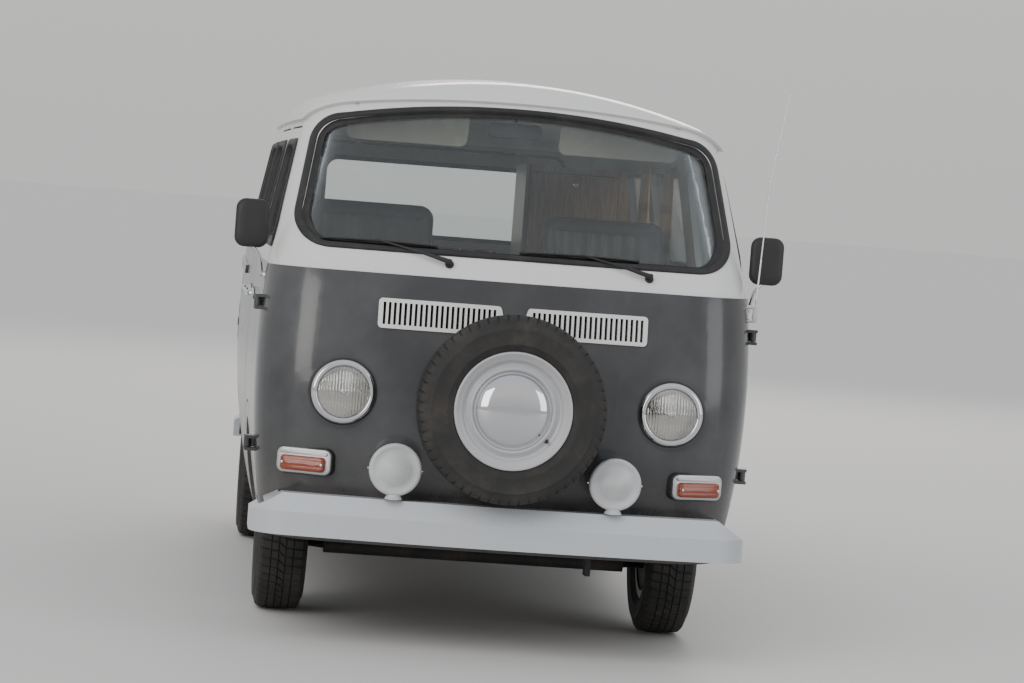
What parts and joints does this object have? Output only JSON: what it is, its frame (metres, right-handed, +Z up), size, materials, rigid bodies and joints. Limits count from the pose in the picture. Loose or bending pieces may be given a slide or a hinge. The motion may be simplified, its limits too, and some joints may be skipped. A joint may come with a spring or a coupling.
{
  "type": "camper van",
  "caption": "Forward-control camper van with a spare wheel on its nose, opening cab doors, tailgate and engine lid, steering and rolling wheels.",
  "frame": {"origin": "on the ground, at the middle of the overall length and width", "axes": "+X to the van's left, +Y to its tail, +Z up; the nose faces -Y"},
  "size_m": [1.891, 4.4998, 1.9754],
  "materials": {
    "body_slate": "dark slate grey-blue gloss paint",
    "body_white": "white gloss paint",
    "glass": "clear window glass",
    "bumper_white": "white paint",
    "rim": "light grey painted steel with a chrome cap",
    "tyre": "black rubber",
    "chassis": "black underbody paint",
    "engine": "dark cast metal",
    "exhaust": "dull steel",
    "lamp_glass": "clear ribbed lens in a chrome ring",
    "fog_cover": "white cover on a chrome lamp",
    "amber": "amber lens in a chrome frame",
    "red_lens": "red lens in a chrome frame",
    "black_plastic": "black plastic",
    "chrome": "chrome plate",
    "vinyl": "dark vinyl",
    "cloth": "woven upholstery",
    "wood": "light wood-faced board"
  },
  "bodies": {
    "van": {"floor_pan": "chassis", "seat_box": "chassis", "engine_deck": "chassis", "front_beam": "chassis", "rear_axle": "chassis", "engine_block": "engine", "silencer": "exhaust", "nose_panel": "body_slate", "roof_panel": "body_white", "side_panel_left": "body_slate", "side_panel_right": "body_slate", "sliding_door": "body_slate", "rear_panel": "body_slate", "windscreen": "glass", "side_glass": "glass", "front_bumper": "bumper_white", "rear_bumper": "bumper_white", "headlamps": "lamp_glass", "fog_lamps": "fog_cover", "front_indicators": "amber", "tail_lamps": "red_lens", "air_grille": "body_white", "gutter": "body_white", "wipers": "black_plastic", "aerial": "chrome", "slide_rail": "body_slate", "sliding_door_handle": "chrome", "dashboard": "black_plastic", "front_seats": "vinyl", "rear_bench": "cloth", "camper_units": "wood", "spare_rim": "rim", "spare_tyre": "tyre", "spare_carrier": "chassis"},
    "left_cab_door": {"cab_door_left": "body_slate", "cab_glass_left": "glass", "mirror_left": "black_plastic", "door_handle_left": "chrome"},
    "right_cab_door": {"cab_door_right": "body_slate", "cab_glass_right": "glass", "mirror_right": "black_plastic", "door_handle_right": "chrome"},
    "tailgate": {"tailgate": "body_slate", "tailgate_glass": "glass"},
    "engine_lid": {"engine_lid": "body_slate"},
    "steering_wheel": {"steering_wheel": "black_plastic"},
    "left_knuckle": {"knuckle_left": "chassis"},
    "right_knuckle": {"knuckle_right": "chassis"},
    "wheel_front_left": {"rim_front_left": "rim", "tyre_front_left": "tyre"},
    "wheel_front_right": {"rim_front_right": "rim", "tyre_front_right": "tyre"},
    "wheel_rear_left": {"rim_rear_left": "rim", "tyre_rear_left": "tyre"},
    "wheel_rear_right": {"rim_rear_right": "rim", "tyre_rear_right": "tyre"}
  },
  "joints": [
    {"name": "left_cab_door_hinge", "type": "hinge", "parent": "van", "child": "left_cab_door", "pos_m": [0.85137, -1.7665, 0.88], "axis": [0, 0, -1], "range_deg": [0, 68]},
    {"name": "right_cab_door_hinge", "type": "hinge", "parent": "van", "child": "right_cab_door", "pos_m": [-0.85137, -1.7665, 0.88], "axis": [0, 0, 1], "range_deg": [0, 68]},
    {"name": "tailgate_hinge", "type": "hinge", "parent": "van", "child": "tailgate", "pos_m": [0, 2.02279, 1.7245], "axis": [1, 0, 0], "range_deg": [0, 80]},
    {"name": "engine_lid_hinge", "type": "hinge", "parent": "van", "child": "engine_lid", "pos_m": [0, 2.15413, 0.9265], "axis": [1, 0, 0], "range_deg": [0, 65]},
    {"name": "steering_turn", "type": "hinge", "parent": "van", "child": "steering_wheel", "pos_m": [0.385, -1.43302, 1.16275], "axis": [0, 0.369, 0.9294], "range_deg": [-470, 470]},
    {"name": "left_knuckle_turn", "type": "hinge", "parent": "van", "child": "left_knuckle", "pos_m": [0.61, -1.12, 0.315], "axis": [0, 0, 1], "range_deg": [-32, 32]},
    {"name": "right_knuckle_turn", "type": "hinge", "parent": "van", "child": "right_knuckle", "pos_m": [-0.61, -1.12, 0.315], "axis": [0, 0, 1], "range_deg": [-32, 32]},
    {"name": "wheel_front_left_spin", "type": "hinge", "parent": "left_knuckle", "child": "wheel_front_left", "pos_m": [0.692, -1.12, 0.315], "axis": [1, 0, 0], "continuous": true},
    {"name": "wheel_front_right_spin", "type": "hinge", "parent": "right_knuckle", "child": "wheel_front_right", "pos_m": [-0.692, -1.12, 0.315], "axis": [1, 0, 0], "continuous": true},
    {"name": "wheel_rear_left_spin", "type": "hinge", "parent": "van", "child": "wheel_rear_left", "pos_m": [0.713, 1.28, 0.315], "axis": [1, 0, 0], "continuous": true},
    {"name": "wheel_rear_right_spin", "type": "hinge", "parent": "van", "child": "wheel_rear_right", "pos_m": [-0.713, 1.28, 0.315], "axis": [1, 0, 0], "continuous": true}
  ],
  "couplings": [
    {"joint": "left_knuckle_turn", "follows": "steering_turn", "ratio": 0.068},
    {"joint": "right_knuckle_turn", "follows": "steering_turn", "ratio": 0.068}
  ]
}
